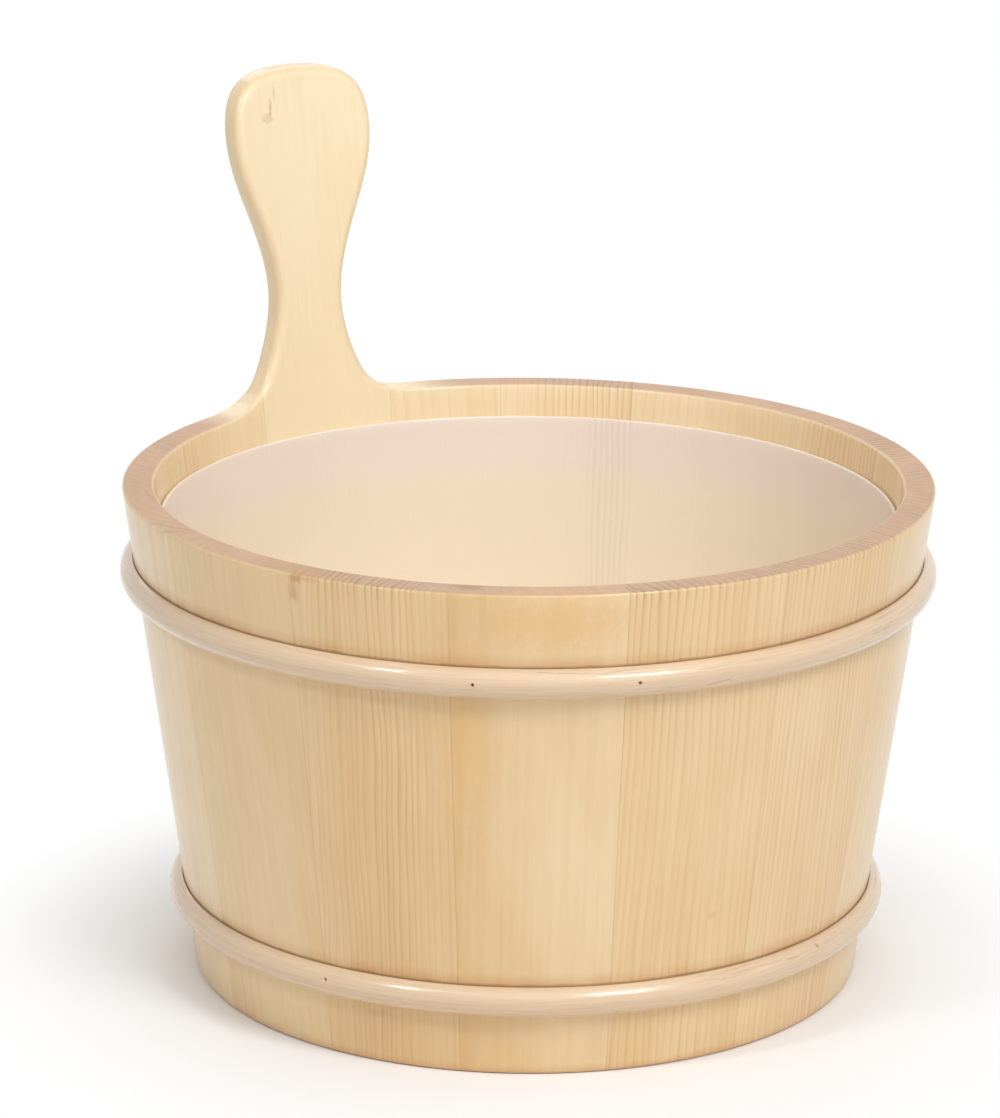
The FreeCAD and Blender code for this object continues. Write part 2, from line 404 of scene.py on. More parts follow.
def marked(finish, body, place, marks):
    """The wood with its knots, warm patches and dents: ragged lumps that fade towards their reach."""
    for centre, reach, rough, strength, tint in marks:
        away = place.seen_from(centre).stretch(*(1 / size for size in reach)).length()
        ragged = (place.noise(0.55, 0.55, 0.35, 3.0, 0.6) - 0.5) * rough
        body = body.blend(finish.tint(tint), (away + ragged).step(1.0, 0.25) * strength)
    return body


def darkened_by_hoops_and_foot(finish, body, place, cloud, outer, sizes):
    """The wood browner at the foot; above each hoop warmer, and darkened by painted shade and dust."""
    _, _, height = place.parts()
    ragged = place.noise(0.12, 0.12, 0.12) - 0.5
    # Browner along the lowest few millimetres of the foot
    body = body.blend(finish.tint("knot"), (height + ragged * 3.0).step(3.4, 0.2) * 0.35)
    for middle in (sizes.upper_hoop, sizes.lower_hoop):
        hoop_top = (middle + sizes.hoop_radius * math.cos(lean(sizes))) / MM
        over = height + ragged * 1.2 - hoop_top
        # Warmer and darker towards each hoop's top; the thin dark line in the crevice is painted shade
        # together with dust
        above = over.step(-1.0, 0.0) * outer
        body = body.blend(finish.tint("knot"), above * over.step(5.0, 0.3) * (0.16 + cloud * 0.34))
        body = body.blend(finish.tint("dirt_and_shade"), above * over.step(0.9, 0.1) * 0.40)
    return body


def wood(name, sizes, colours, marks):
    """Varnished pine. Its rings run through each board, so its faces and its cut ends agree.

    The first three numbers of a noise are lumps to a millimetre across, into and along the grain.
    """
    finish = Finish(name, colours, {"IOR": 1.48, "Coat Roughness": 0.075, "Coat IOR": 1.5})
    grain = finish.attribute("grain")
    tone, contrast, cone = finish.attribute("board").parts()
    edge, end, spacing = finish.attribute("finish").parts()

    patch = grain.noise(0.05, 0.05, 0.012, 2.0, 0.6).step(0.32, 0.68)
    cloud = grain.noise(0.035, 0.06, 0.014, 3.0, 0.55).step(0.3, 0.75)
    fibre = grain.noise(2.4, 2.4, 0.05, 3.0, 0.6)
    streak = grain.noise(0.5, 0.5, 0.012).step(0.35, 0.7)
    dash = grain.noise(3.2, 3.2, 0.16, 1.0).step(0.70, 0.80)
    late = rings(grain, cone, spacing) * contrast * (0.35 + patch * 0.65)

    deep = tone + (cloud - 0.5) * 0.22 + (streak - 0.5) * 0.09
    body = finish.tint("early_wood").blend(finish.tint("deep_wood"), deep)
    body = body.blend(finish.tint("late_wood"), late * 0.50)
    cut = 1.04 + cloud * 0.12 - tone * 0.16 - late * 0.36 - streak * 0.06
    body = body.blend(finish.tint("end_grain").times(cut), end)
    body = body.times(0.965 + fibre * 0.07 - dash * 0.08 * (0.3 + contrast * 0.7))

    place = finish.place()
    body = marked(finish, body, place, marks)
    x, y, z = place.parts()
    wall = z * math.tan(lean(sizes)) + sizes.foot_radius / MM
    outer = ((x * x + y * y) ** 0.5 - wall).step(-2.0, -1.0)
    rim = sizes.height / MM
    body = body.times(1.0 - z.step(rim - 6.0, rim) * late * outer * 0.22)
    body = darkened_by_hoops_and_foot(finish, body, place, cloud, outer, sizes)
    finish.use("Base Color", body.times(edge.step(0.02, 0.30, 0.93, 1.0)))
    finish.use("Roughness", 0.40 + fibre * 0.10 + end * 0.12)
    finish.use("Coat Weight", 0.55 - end * 0.40)
    finish.relief(fibre * 0.5 + late * 0.5 - dash, 0.05 * MM, 0.6)
    return finish.material


def cane(name, colours):
    """Varnished half round cane: strands along it, pores, cracks, the line of its scarf, and painted shade
    with dust.
    """
    finish = Finish(name, colours, {"IOR": 1.5, "Coat Roughness": 0.07, "Coat IOR": 1.5})
    grain = finish.attribute("grain")
    scarf, height, pit = finish.attribute("finish").parts()
    fibre = grain.noise(1.9, 1.9, 0.022, 3.0, 0.6)
    broad = grain.noise(0.5, 0.5, 0.008)
    patch = grain.noise(0.12, 0.12, 0.025).step(0.35, 0.7)
    strand = grain.noise(1.0, 1.0, 0.016, 3.0, 0.6).step(0.36, 0.64)
    strand = 0.5 + (strand - 0.5) * (0.4 + patch * 0.6)
    pore = grain.noise(3.4, 3.4, 0.30, 1.0).step(0.66, 0.80)
    crack = grain.noise(2.6, 2.6, 0.07, 2.0, 0.6).step(0.60, 0.70) * (0.3 + patch * 0.7)
    line = scarf.abs().step(0.14, 0.02) * grain.noise(0.6, 0.6, 0.10).step(0.50, 0.62)

    fibres = fibre.step(0.40, 0.72) * 0.44 + broad.step(0.5, 0.8) * 0.28
    body = finish.tint("cane").blend(finish.tint("cane_fibre"), fibres)
    body = body.times(0.965 + strand * 0.055 - pore * 0.10 * patch)
    # Cracks and the scarf's line are the cane's own; darkening in each brad's pit and along the corners by
    # the wall is painted shade together with dust
    for dark in (crack * 0.28, line * 0.35, pit.step(0.55, 0.85) * 0.9, height.step(0.8, 0.1) * 0.45):
        body = body.blend(finish.tint("dirt_and_shade"), dark)
    finish.use("Base Color", body)
    finish.use("Roughness", 0.13 + fibre * 0.14 + strand * 0.10)
    finish.use("Coat Weight", 0.40 + strand * 0.30 - pore * 0.3)
    finish.relief(fibre * 0.6 + strand * 0.5 - pore * 0.4 - line - crack * 0.6, 0.10 * MM, 0.8)
    return finish.material


def plastic(name, colours):
    """Milky plastic. The rings of the boards behind show through its wall as faint upright lines."""
    finish = Finish(name, colours, {"IOR": 1.46})
    place = finish.place()
    cloud = place.noise(0.02, 0.02, 0.03)
    fine = place.noise(0.5, 0.5, 0.5)
    x, y, z = place.parts()
    band = (z + (cloud - 0.5) * 6.0).step(*LINER_BAND)
    body = finish.tint("liner").blend(finish.tint("liner_band"), band)
    turn = y.math("ARCTAN2", y, x)
    wander = place.noise(0.05, 0.05, 0.02) - 0.5
    ring = (turn * RINGS_BEHIND + wander * 1.6).fract()
    behind = (turn - RINGS_BEHIND_AT).abs().step(*RINGS_BEHIND_REACH) * 0.055 + 0.008
    behind = behind * ring.step(0.10, 0.70) * ring.step(0.75, 1.0, 1.0, 0.0)
    behind = behind * z.step(*RINGS_BEHIND_UP)
    finish.use("Base Color", body.times(0.98 + cloud * 0.04 - behind))
    finish.use("Alpha", 0.87 + cloud * 0.04)
    finish.use("Roughness", 0.20 + fine * 0.06)
    finish.relief(cloud + fine * 0.1, 0.3 * MM, 0.15)
    return finish.material


def dark_steel(name, colours):
    """Darkened wire of the brads, worn on its end."""
    finish = Finish(name, colours, {"IOR": 2.0})
    speck = finish.place().noise(4.0, 4.0, 4.0, 2.0, 0.6)
    finish.use("Base Color", finish.tint("steel").times(0.7 + speck * 0.6))
    finish.use("Roughness", 0.45 + speck * 0.2)
    finish.use("Metallic", 0.75 + speck * 0.2)
    return finish.material


def smooth(value):
    """Smooth step from 0 to 1."""
    value = np.clip(value, 0.0, 1.0)
    return value * value * (3.0 - 2.0 * value)


def corner_steps(count):
    """How far a rounded corner stands in from its two faces, in shares of its radius, along its turn."""
    turn = np.linspace(0.0, math.pi / 2, count)
    return 1 - np.sin(turn), 1 - np.cos(turn)


def full_turn(count):
    """Angles of even steps round a circle, without the last, which lies on the first."""
    return np.linspace(0.0, 2 * math.pi, count + 1)[:-1]


def surface(name, grids, fields, sharp=40.0):
    """A mesh of grids whose columns run round, with every cell of a grid as a four sided face.

    It is closed where a grid's end rows have shrunk to a line or a point or lie on each other, because
    doubled points are merged. Every field is a vector for each point.
    """
    faces, start = [], 0
    for grid in grids:
        index = start + np.arange(grid.shape[0] * grid.shape[1]).reshape(grid.shape[:2])
        beside = np.roll(index, -1, axis=1)
        faces.append(np.stack([index[:-1], beside[:-1], beside[1:], index[1:]], -1).reshape(-1, 4))
        start += index.size
    mesh = bpy.data.meshes.new(name)
    mesh.from_pydata(
        np.concatenate([grid.reshape(-1, 3) for grid in grids]), [], np.concatenate(faces))
    for key, value in fields.items():
        layer = mesh.attributes.new(key, "FLOAT_VECTOR", "POINT")
        layer.data.foreach_set("vector", value.reshape(-1).astype(np.float32))
    shape = bmesh.new()
    shape.from_mesh(mesh)
    bmesh.ops.remove_doubles(shape, verts=shape.verts, dist=MERGED_UNDER * MM)
    bmesh.ops.recalc_face_normals(shape, faces=shape.faces)
    shape.to_mesh(mesh)
    shape.free()
    mesh.shade_smooth()
    mesh.set_sharp_from_angle(angle=math.radians(sharp))
    piece = bpy.data.objects.new(name, mesh)
    bpy.context.scene.collection.objects.link(piece)
    return piece


def dress(piece, material, body, node):
    """Gives a piece its material and body, and lets it stand for its CAD node."""
    piece.data.materials.append(material)
    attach(piece, body)
    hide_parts(node)


def stave_edges():
    """Angles from the handle, in radians, of both edges of every stave."""
    turned = np.radians(STAVE_ANGLES * 360.0 / STAVE_ANGLES.sum())
    last = np.cumsum(turned) - turned[0] / 2
    return np.stack([last - turned, last], -1)


def lean(sizes):
    """Angle that the wall leans outwards by."""
    return math.atan((sizes.rim_radius - sizes.foot_radius) / sizes.height)


def outside(sizes, z):
    """Radius of the staves' outside at a height."""
    return sizes.foot_radius + math.tan(lean(sizes)) * z


def wall_radius(sizes, z, depth):
    """Radius at a height and a depth, which runs from minus to plus half the wall, inside to outside."""
    return outside(sizes, z) + (depth - sizes.wall / 2) / math.cos(lean(sizes))


def on_wall(sizes, height, up, off):
    """Radius and height of what lies up the slope from a height on the wall, and off the wall."""
    slope = lean(sizes)
    return (outside(sizes, height) + up * math.sin(slope) + off * math.cos(slope),
            height + up * math.cos(slope) - off * math.sin(slope))


def around_axis(radius, angle, height):
    """Points at radii from the pail's axis, angles from +X and heights."""
    return np.stack(np.broadcast_arrays(radius * np.cos(angle), radius * np.sin(angle), height), -1)


def section_loop():
    """Columns round a stave's section: share across, inset at the joints, side and share taken off it.

    It runs down one joint from the inside corner to the outside one, across the outside, back up the
    other joint, and across the inside. The side runs from -1 inside to 1 outside. The inset and what is
    taken off the side are shares of the radius of the corner, a quarter circle.
    """
    from_joint, from_face = corner_steps(5)
    side = np.r_[-np.ones(5), -0.9, 0.0, 0.9, np.ones(5)]
    inset = np.r_[from_joint, np.zeros(3), from_joint[::-1]]
    taken = np.r_[from_face, np.ones(3), from_face[::-1]]
    face = np.r_[0.012, np.linspace(0, 1, 14)[1:-1], 0.988]
    flat = np.ones(len(face))
    share = np.r_[np.zeros(len(side)), face, np.ones(len(side)), face[::-1]]
    return (share,
            np.r_[inset, flat, inset[::-1], flat],
            np.r_[side, flat, side[::-1], -flat],
            np.r_[taken, 0 * flat, taken[::-1], 0 * flat])


def stave_rows(sizes, with_top=True):
    """Rows up a stave, as columns of height, half depth, inset, croze, end grain, and down and back.

    The foot and the rim close in quarter circles and then shrink to a line in the wall's middle. The
    last two are the shares of the rim's rounding that a row stands down and back by.
    """
    half = sizes.wall / 2

    def row(z, depth=half, inset=0.0, croze=0.0, end=0.0, down=0.0, back=0.0):
        """A row at a height, as thick as the wall and plain unless told otherwise."""
        return z, depth, inset, croze, end, down, back

    radius = sizes.foot_rounding
    rows = [row(0.0, 0.0, end=1.0), row(0.0, half - radius * 1.2, end=1.0)]
    for back, up in zip(*corner_steps(5)):
        rows.append(row(up * radius, half - back * radius, back * radius * 0.15, end=back * (2 - back)))
    low, high = sizes.board_low - sizes.board_slack, sizes.board_high + sizes.board_slack
    beside, depth = GROOVE_BESIDE * MM, sizes.croze_depth
    groove = [(low - beside, 0.0), (low, 0.0), (low, depth), (high, depth), (high, 0.0),
              (high + beside, 0.0)]
    rows += [row(z, croze=croze) for z, croze in groove]
    plain = np.linspace(high + PLAIN_ABOVE * MM, sizes.height - PLAIN_BELOW * MM, 10)
    rows += [row(z) for z in plain]
    if with_top:
        rows += [row(sizes.height - below * MM) for below in RIM_ROWS]
        rows += [row(sizes.height, end=(1 - down) ** 4, down=down, back=back)
                 for down, back in zip(*corner_steps(5))]
        rows += [row(sizes.height, end=1.0, back=1.3), row(sizes.height, 0.0, end=1.0)]
    return np.array(rows).T[..., None]


def stave_depth(sizes, half, croze):
    """Depth of each column of a row: its corners are eased, and its inside is set back by the croze."""
    _, _, side, taken = section_loop()
    depth = half * side - np.minimum(sizes.joint_ease, half) * np.sign(side) * taken
    return sizes.wall / 2 - (sizes.wall / 2 - depth) * (sizes.wall - croze) / sizes.wall


def rounding(sizes, rise):
    """Radius on the edges at a rise above the rim: it grows smoothly from the rim's to the handle's."""
    grown = smooth(rise / (ROUNDING_RISE * MM))
    return sizes.rim_rounding + (sizes.handle_rounding - sizes.rim_rounding) * grown


def outline_curve():
    """The handle's outline as a curve through its points, level at both ends.

    Between two points it is a cubic of the chord length that has their places and slopes. The slopes
    solve the equations that let its bend run on through every point. Returns places across and above
    the rim, in metres, with their inward normals.
    """
    knots = HANDLE_OUTLINE * MM
    at = np.r_[0.0, np.cumsum(np.hypot(*np.diff(knots, axis=0).T))]
    gap = np.diff(at)
    rise = np.diff(knots, axis=0) / gap[:, None]
    size = len(knots)
    system = np.zeros((size, size))
    wanted = np.zeros((size, 2))
    system[0, 0] = system[-1, -1] = 1.0
    wanted[0] = wanted[-1] = (1.0, 0.0)
    row = np.arange(1, size - 1)
    system[row, row - 1] = gap[1:]
    system[row, row] = 2 * (gap[1:] + gap[:-1])
    system[row, row + 1] = gap[:-1]
    wanted[1:-1] = 3 * (gap[1:, None] * rise[:-1] + gap[:-1, None] * rise[1:])
    slope = np.linalg.solve(system, wanted)
    place = np.linspace(0.0, at[-1], 1200)
    span = np.clip(np.searchsorted(at, place, side="right") - 1, 0, size - 2)
    share = ((place - at[span]) / gap[span])[:, None]
    chord = gap[span][:, None]
    points = ((1 + 2 * share) * (1 - share) ** 2 * knots[span]
              + share * (1 - share) ** 2 * chord * slope[span]
              + share ** 2 * (3 - 2 * share) * knots[span + 1]
              + share ** 2 * (share - 1) * chord * slope[span + 1])
    along = np.gradient(points, axis=0)
    along /= np.hypot(*along.T)[:, None]
    return points, np.stack([along[:, 1], -along[:, 0]], -1)


def flare(index):
    """The stretch of the outline that the rim of the stave beside the handle follows."""
    points, _ = outline_curve()
    way = -1 if index == FIRST_STAVE else 1
    return points[(points[:, 0] * way > 0) & (points[:, 1] < FLARE_TOP * MM)].T


def board_fields(sizes, index, points, edge, end):
    """What the wood's finish reads: place in the tree, how the board looks, and its edges and ends.

    The place is the point seen across the board, into it and along it, leant with the wall, slanted by
    the board's drift and set off from the tree's middle.
    """
    x_off, y_off, drift, cone, spacing, tones, contrasts = SAWN[index]
    first, last = stave_edges()[index]
    middle = (first + last) / 2 + math.pi / 2
    across = -math.sin(middle) * points[..., 0] + math.cos(middle) * points[..., 1]
    out = math.cos(middle) * points[..., 0] + math.sin(middle) * points[..., 1]
    share = 0.5 + np.arctan2(across, out) / (last - first)
    tone, contrast = (np.interp(share, (0.0, 0.5, 1.0), values) for values in (tones, contrasts))
    out = out - sizes.foot_radius
    slope = lean(sizes)
    depth = out * math.cos(slope) - points[..., 2] * math.sin(slope)
    along = out * math.sin(slope) + points[..., 2] * math.cos(slope)
    grain = np.stack([(across + drift * along) / MM + x_off, depth / MM + y_off,
                      along / MM + STAVE_STEP * index], -1)
    board = np.stack([tone, contrast, np.full(edge.shape, cone)], -1)
    finish = np.stack([edge / MM, end, np.full(edge.shape, spacing)], -1)
    return {"grain": grain, "board": board, "finish": finish}


def round_stave(name, sizes, index):
    """A stave as a function of its row and its place round the section.

    Angle runs between the stave's two radial joints, radius comes from height and depth, and beside
    the handle the rim is lifted to the outline's height at the same distance across.
    """
    share, inset, _, _ = section_loop()
    z, half, extra, croze, end, down, back = stave_rows(sizes)
    first, last = stave_edges()[index]
    beside_handle = index in (FIRST_STAVE, LAST_STAVE)
    rim_lift = np.zeros(len(share))
    if beside_handle:
        flare_across, flare_rise = flare(index)
        rim_across = -sizes.rim_radius * np.sin((1 - share) * first + share * last)
        rim_lift = np.interp(rim_across, flare_across, flare_rise)
    z = z - rounding(sizes, rim_lift) * down
    depth = stave_depth(sizes, half - rounding(sizes, rim_lift) * back, croze)
    radius = wall_radius(sizes, z, depth)
    inward = (inset * sizes.joint_ease + extra) / radius
    angle = (1 - share) * (first + inward) + share * (last - inward)
    height, end = z + 0 * angle, end + 0 * angle
    if beside_handle:
        from_handle = (angle - first if index == FIRST_STAVE else last - angle) * radius
        shown = smooth(from_handle / (RIM_END_REACH * MM))
        end = end * (RIM_END_LEAST + (1 - RIM_END_LEAST) * shown)
        across = -radius * np.sin(angle)
        lift = np.interp(across, flare_across, flare_rise)
        steep = np.interp(across, flare_across, np.abs(np.gradient(flare_rise, flare_across)))
        below = sizes.height - z
        ramp = 1 - smooth((below / MM - LIFT_WHOLE) / LIFT_FADE)
        height = z + (lift + below * (1 - np.sqrt(1 + steep ** 2))) * ramp
        radius = wall_radius(sizes, height, depth)
    grid = around_axis(radius, angle + math.pi / 2, height)
    edge = np.minimum(angle - first, last - angle) * radius
    return surface(name, [grid], board_fields(sizes, index, grid, edge, end))


def handle_side(sizes, way):
    """One side of the handle above its joint: places across, heights, tilts and depths.

    Each column follows the outline, set in along its normals by the column's share of the rounding,
    from where it leaves the slanting joint up to the crown, in even steps.
    """
    _, inset, side, taken = section_loop()
    points, normals = outline_curve()
    crown = int(np.argmax(points[:, 1]))
    order = slice(0, crown + 1) if way < 0 else slice(None, crown - 1, -1)
    curve, normal = points[order], normals[order]
    radius = rounding(sizes, curve[:, 1:])
    x = curve[:, :1] + normal[:, :1] * inset * radius
    up = curve[:, 1:] + normal[:, 1:] * inset * radius + sizes.height
    depth = sizes.wall / 2 * side - radius * np.sign(side) * taken
    room = wall_radius(sizes, up, depth) * math.sin(stave_edges()[0][1]) - np.abs(x)
    column = np.arange(len(side))
    inside = np.argmax(room > 0, axis=0)
    before, after = room[inside - 1, column], room[inside, column]
    start = inside - 1 + before / (before - after)
    at = start + (len(curve) - 1 - start) * np.linspace(0.0, 1.0, 90)[:, None]
    low = np.clip(at.astype(int), 0, len(curve) - 2)
    part = at - low

    def along(value):
        """A value of the outline's points, taken between the two that are nearest."""
        return (1 - part) * value[low, column] + part * value[low + 1, column]

    tilt = np.abs(along(normal[:, 1:] + 0 * inset))
    return along(x), along(up), tilt, along(depth)


def handle_stave(name, sizes):
    """The handle stave as a function of its row and its place round the section.

    Below the flare a row runs between the two radial joints. Above it a row joins the two sides of the
    outline. Across and up are taken from that view, and the point is then put level on the cone at its
    depth.
    """
    share, inset, side, _ = section_loop()
    swing = stave_edges()[0][1]
    z, half, extra, croze, end, _, _ = stave_rows(sizes, with_top=False)
    joint_rise = np.array([0.35, 0.65, 0.85, 0.97])[:, None]
    sides = [handle_side(sizes, way) for way in (-1, 1)]
    joint_half = sizes.wall / 2 + 0 * joint_rise
    low_depth = stave_depth(sizes, np.r_[half, joint_half], np.r_[croze, 0 * joint_rise])
    inward = np.r_[extra, 0 * joint_rise] + inset * sizes.joint_ease
    across, height, cut = [], [], []
    for way, (high_x, high_z, tilt, _) in zip((-1, 1), sides):
        low_z = np.r_[z + 0 * share, z[-1] + (high_z[0] - z[-1]) * joint_rise]
        low_x = wall_radius(sizes, low_z, low_depth) * math.sin(swing) - inward
        across.append(np.r_[way * low_x, high_x])
        height.append(np.r_[low_z, high_z])
        cut.append(np.r_[end + 0 * share, 0 * (joint_rise + share), tilt])
    x, up, cut = ((1 - share) * left + share * right for left, right in (across, height, cut))
    depth = np.r_[low_depth, (1 - share) * sides[0][3] + share * sides[1][3]]

    on_side = np.where(np.abs(side) < 1, 1.0, 1 - inset)
    above = slice(len(z), None)
    level = cut[above] * on_side
    cut[above] = smooth((level - CROWN_LEVEL) / (1 - CROWN_LEVEL)) * CROWN_END
    radius = wall_radius(sizes, up, depth)
    grid = np.stack([x, np.sqrt(np.maximum(radius ** 2 - x ** 2, 0.0)), up], -1)
    edge = radius * (swing - np.abs(np.arcsin(np.clip(x / radius, -1, 1))))
    fields = board_fields(sizes, 0, grid, edge, cut)
    fields["board"][above, :, 0] += SIDE_TONE * on_side
    return surface(name, [grid], fields)


def hoop(name, sizes, height, which):
    """A half round ring as a function of the angle and the place round its section.

    The section is a half circle with its two edges rounded, standing on the wall's slope. Near a brad
    the crown is pressed in by a smooth pit. The ring's last row lies on its first.
    """
    radius, edge = sizes.hoop_radius, sizes.hoop_edge
    meet = math.asin(edge / (radius - edge))
    seats = [math.acos(share) for _, share in BRADS[which]]
    crown = np.concatenate([np.linspace(meet, math.pi - meet, 25)]
                           + [seat + np.linspace(-PIT_ROUND, PIT_ROUND, 9) for seat in seats])
    crown = np.unique(np.round(np.clip(crown, meet, math.pi - meet), 5))
    middle = math.sqrt((radius - edge) ** 2 - edge ** 2)
    turn = np.linspace(-math.pi / 2, meet, 6)[:-1]
    edge_up, edge_off = middle + edge * np.cos(turn), edge + edge * np.sin(turn)
    up = np.r_[edge_up, radius * np.cos(crown), -edge_up[::-1], -middle / 2, middle / 2]
    off = np.r_[edge_off, radius * np.sin(crown), edge_off[::-1], 0.0, 0.0]
    girth = np.r_[0.0, np.cumsum(np.hypot(np.diff(up), np.diff(off)))]

    places = [math.radians(at) for at, _ in BRADS[which]]
    reach = outside(sizes, height) + radius / 2
    fine = np.linspace(-PIT_ALONG, PIT_ALONG, 15) * MM / reach
    around = np.concatenate([full_turn(288)] + [at + fine for at in places])
    around = np.unique(np.round(around, 6))
    around = np.append(around, around.min() + 2 * math.pi)[:, None]
    press = np.zeros((len(around), len(up)))
    for at, (_, share) in zip(places, BRADS[which]):
        away = np.hypot((around - at) * reach, up - radius * share) / MM
        press += sizes.brad_sink * (1 - smooth((away - PIT_FLOOR) / PIT_SLOPE)) * (off > edge)

    pull = 1 - press / radius
    out, z = on_wall(sizes, height, up * pull, off * pull + sizes.hoop_gap)
    start = math.radians(SCARF_AT[which] - SCARF_REACH)
    sweep = (around - start) / (2 * math.radians(SCARF_REACH))
    on_scarf = (sweep > 0) & (sweep < 1)
    scarf = np.where(on_scarf, (off / radius - sweep) * radius / MM, NO_SCARF)
    level = off / MM + 0 * around
    grain = np.stack([girth / MM + 0 * around, level, around * reach / MM + 0 * up], -1)
    fields = {"grain": grain, "finish": np.stack([scarf, level, press / MM], -1)}
    return surface(name, [around_axis(out, around + math.pi / 2, z)], fields, sharp=60.0)


def brads(name, sizes, height, which):
    """Brads as turned shapes: a profile of radius and depth carried round an axis square to the wall."""
    radius, long = sizes.brad_radius, sizes.brad_length
    head = np.array([(0.0, 0.10), (0.35, 0.09), (0.7, 0.05), (0.92, -0.03), (1.0, -0.16)]) * radius
    tip = np.array([(1.0, 1.0), (0.55, 0.12), (0.0, 0.0)]) * radius - (0.0, long)
    profile = np.r_[head, [(radius, -long / 2)], tip]
    turn = full_turn(24)
    grids = []
    for at, share in BRADS[which]:
        crown = sizes.hoop_radius * math.sqrt(1 - share ** 2)
        top = sizes.hoop_gap + crown - sizes.brad_sink
        up = sizes.hoop_radius * share + profile[:, :1] * np.cos(turn)
        out, z = on_wall(sizes, height, up, top + profile[:, 1:] + 0 * turn)
        sideways = profile[:, :1] * np.sin(turn)
        angle = math.radians(90.0 + at)
        grids.append(np.stack([
            out * math.cos(angle) - sideways * math.sin(angle),
            out * math.sin(angle) + sideways * math.cos(angle), z], -1))
    return surface(name, grids, {})


def bottom_board(name, sizes, index, low, high):
    """A board of the round bottom as a function of place across it and round its section.

    Its ends lie on the circle: half its length at a place across is the circle's half chord there. Its
    two sides close to a line in the middle of its thickness.
    """
    reach = wall_radius(sizes, sizes.board_high, -sizes.wall / 2)
    reach += sizes.croze_depth - sizes.board_slack
    ease, thick = sizes.board_ease, (sizes.board_high - sizes.board_low) / 2
    back, down = corner_steps(4)
    closing = ease * np.r_[0.0, 0.0, down]
    inner = np.linspace(low + ease, high - ease, 26)[1:-1]
    across = np.r_[low + closing, inner, high - closing[::-1]]
    across = np.clip(across, -reach * 0.99999, reach * 0.99999)[:, None]
    thin = np.r_[1e-6, 0.9, 1 - back * 0.09]
    squeeze = np.r_[thin, np.ones(len(inner)), thin[::-1]][:, None]

    end_y, end_z = 1 - ease / reach * back, thick - ease * down
    flat = np.linspace(0.97, -0.97, 24)
    y = np.r_[end_y, end_y[::-1], flat, -end_y, -end_y[::-1], -flat]
    z = np.r_[-end_z, end_z[::-1], 0 * flat + thick, end_z, -end_z[::-1], 0 * flat - thick]
    middle = (sizes.board_low + sizes.board_high) / 2
    chord = np.sqrt(reach ** 2 - across ** 2)
    grid = np.stack([across + 0 * y, chord * y, middle + squeeze * z], -1)
    edge = np.minimum(across - low, high - across) + 0 * y
    x_off, z_off, tone = BOTTOM_SAWN[index]
    x, y_at, z_at = np.moveaxis(grid / MM, -1, 0)
    grain = np.stack([x + x_off, z_at + z_off, y_at + BOTTOM_STEP * index + BOTTOM_START], -1)
    board = np.broadcast_to((tone, BOTTOM_CONTRAST, BOTTOM_CONE), grid.shape)
    end = smooth((np.abs(y) - 0.985) / 0.01) + 0 * across
    finish = np.stack([edge / MM, end, np.full(edge.shape, BOTTOM_SPACING)], -1)
    return surface(name, [grid], {"grain": grain, "board": board, "finish": finish})


def liner_cup(name, sizes):
    """A thin cup turned about the pail's axis: its profile of radius and height carried round a circle."""
    base, top, wall = sizes.board_high, sizes.liner_top, sizes.liner_wall
    floor = base + sizes.liner_base
    slope = lean(sizes)

    def side(z, inset):
        """Radius of the wall at a height, an inset in from its outside."""
        return wall_radius(sizes, z, -sizes.wall / 2) - sizes.liner_gap - inset

    def arc(low, inset, radius):
        """Points of the arc from the flat to the wall, tangent to both."""
        middle = side(low, inset) - radius * (1 / math.cos(slope) - math.tan(slope))
        turn = np.linspace(-math.pi / 2, -slope, 9)
        return np.stack([middle + radius * np.cos(turn), low + radius + radius * np.sin(turn)], -1)

    def between(start, end):
        """Points on the straight wall between two, some close to its ends."""
        return [start + (end - start) * share for share in (0.02, 0.3, 0.6, 0.98)]

    bead = wall / 2
    centre = side(top - bead, bead)
    turn = np.linspace(-slope, math.pi - slope, 9)
    lip = np.stack([centre + bead * np.cos(turn), top - bead + bead * np.sin(turn)], -1)
    outer = arc(base, 0.0, sizes.liner_corner)
    inner = arc(floor, wall, sizes.liner_corner - wall)
    half_way = side(base, 0.0) / 2
    profile = np.r_[
        [(0.0, base), (half_way, base)], outer, between(outer[-1], lip[0]), lip,
        between(lip[-1], inner[-1]), inner[::-1], [(half_way, floor), (0.0, floor)]]
    return surface(name, [around_axis(profile[:, :1], full_turn(192), profile[:, 1:])], {})


def direction(turn, rise):
    """Unit vector at an angle round from -Y towards +X and an angle up, both in radians."""
    return Vector((
        math.sin(turn) * math.cos(rise), -math.cos(turn) * math.cos(rise), math.sin(rise)))


def place_camera(scene):
    """The camera looks back along its direction, rolled about it, at a point beside the pail's axis."""
    camera = bpy.data.cameras.new("camera")
    camera.sensor_fit = "VERTICAL"
    camera.sensor_height = SENSOR_HEIGHT
    camera.lens = SENSOR_HEIGHT * FOCAL_LENGTH / PICTURE_HEIGHT
    camera.clip_end = CAMERA_SEES
    holder = bpy.data.objects.new("camera", camera)
    scene.collection.objects.link(holder)
    turn, pitch, roll = (math.radians(v) for v in (CAMERA_TURN, CAMERA_PITCH, CAMERA_ROLL))
    back = direction(turn, pitch)
    level = Vector((math.cos(turn), math.sin(turn), 0.0))
    upright = back.cross(level)
    right = level * math.cos(roll) + upright * math.sin(roll)
    up = upright * math.cos(roll) - level * math.sin(roll)
    spot = (level * AIM_RIGHT + Vector((0.0, 0.0, AIM_UP))) * MM + back * CAMERA_AWAY
    axes = Matrix((right, up, back)).transposed()
    holder.matrix_world = Matrix.Translation(spot) @ axes.to_4x4()
    scene.camera = holder


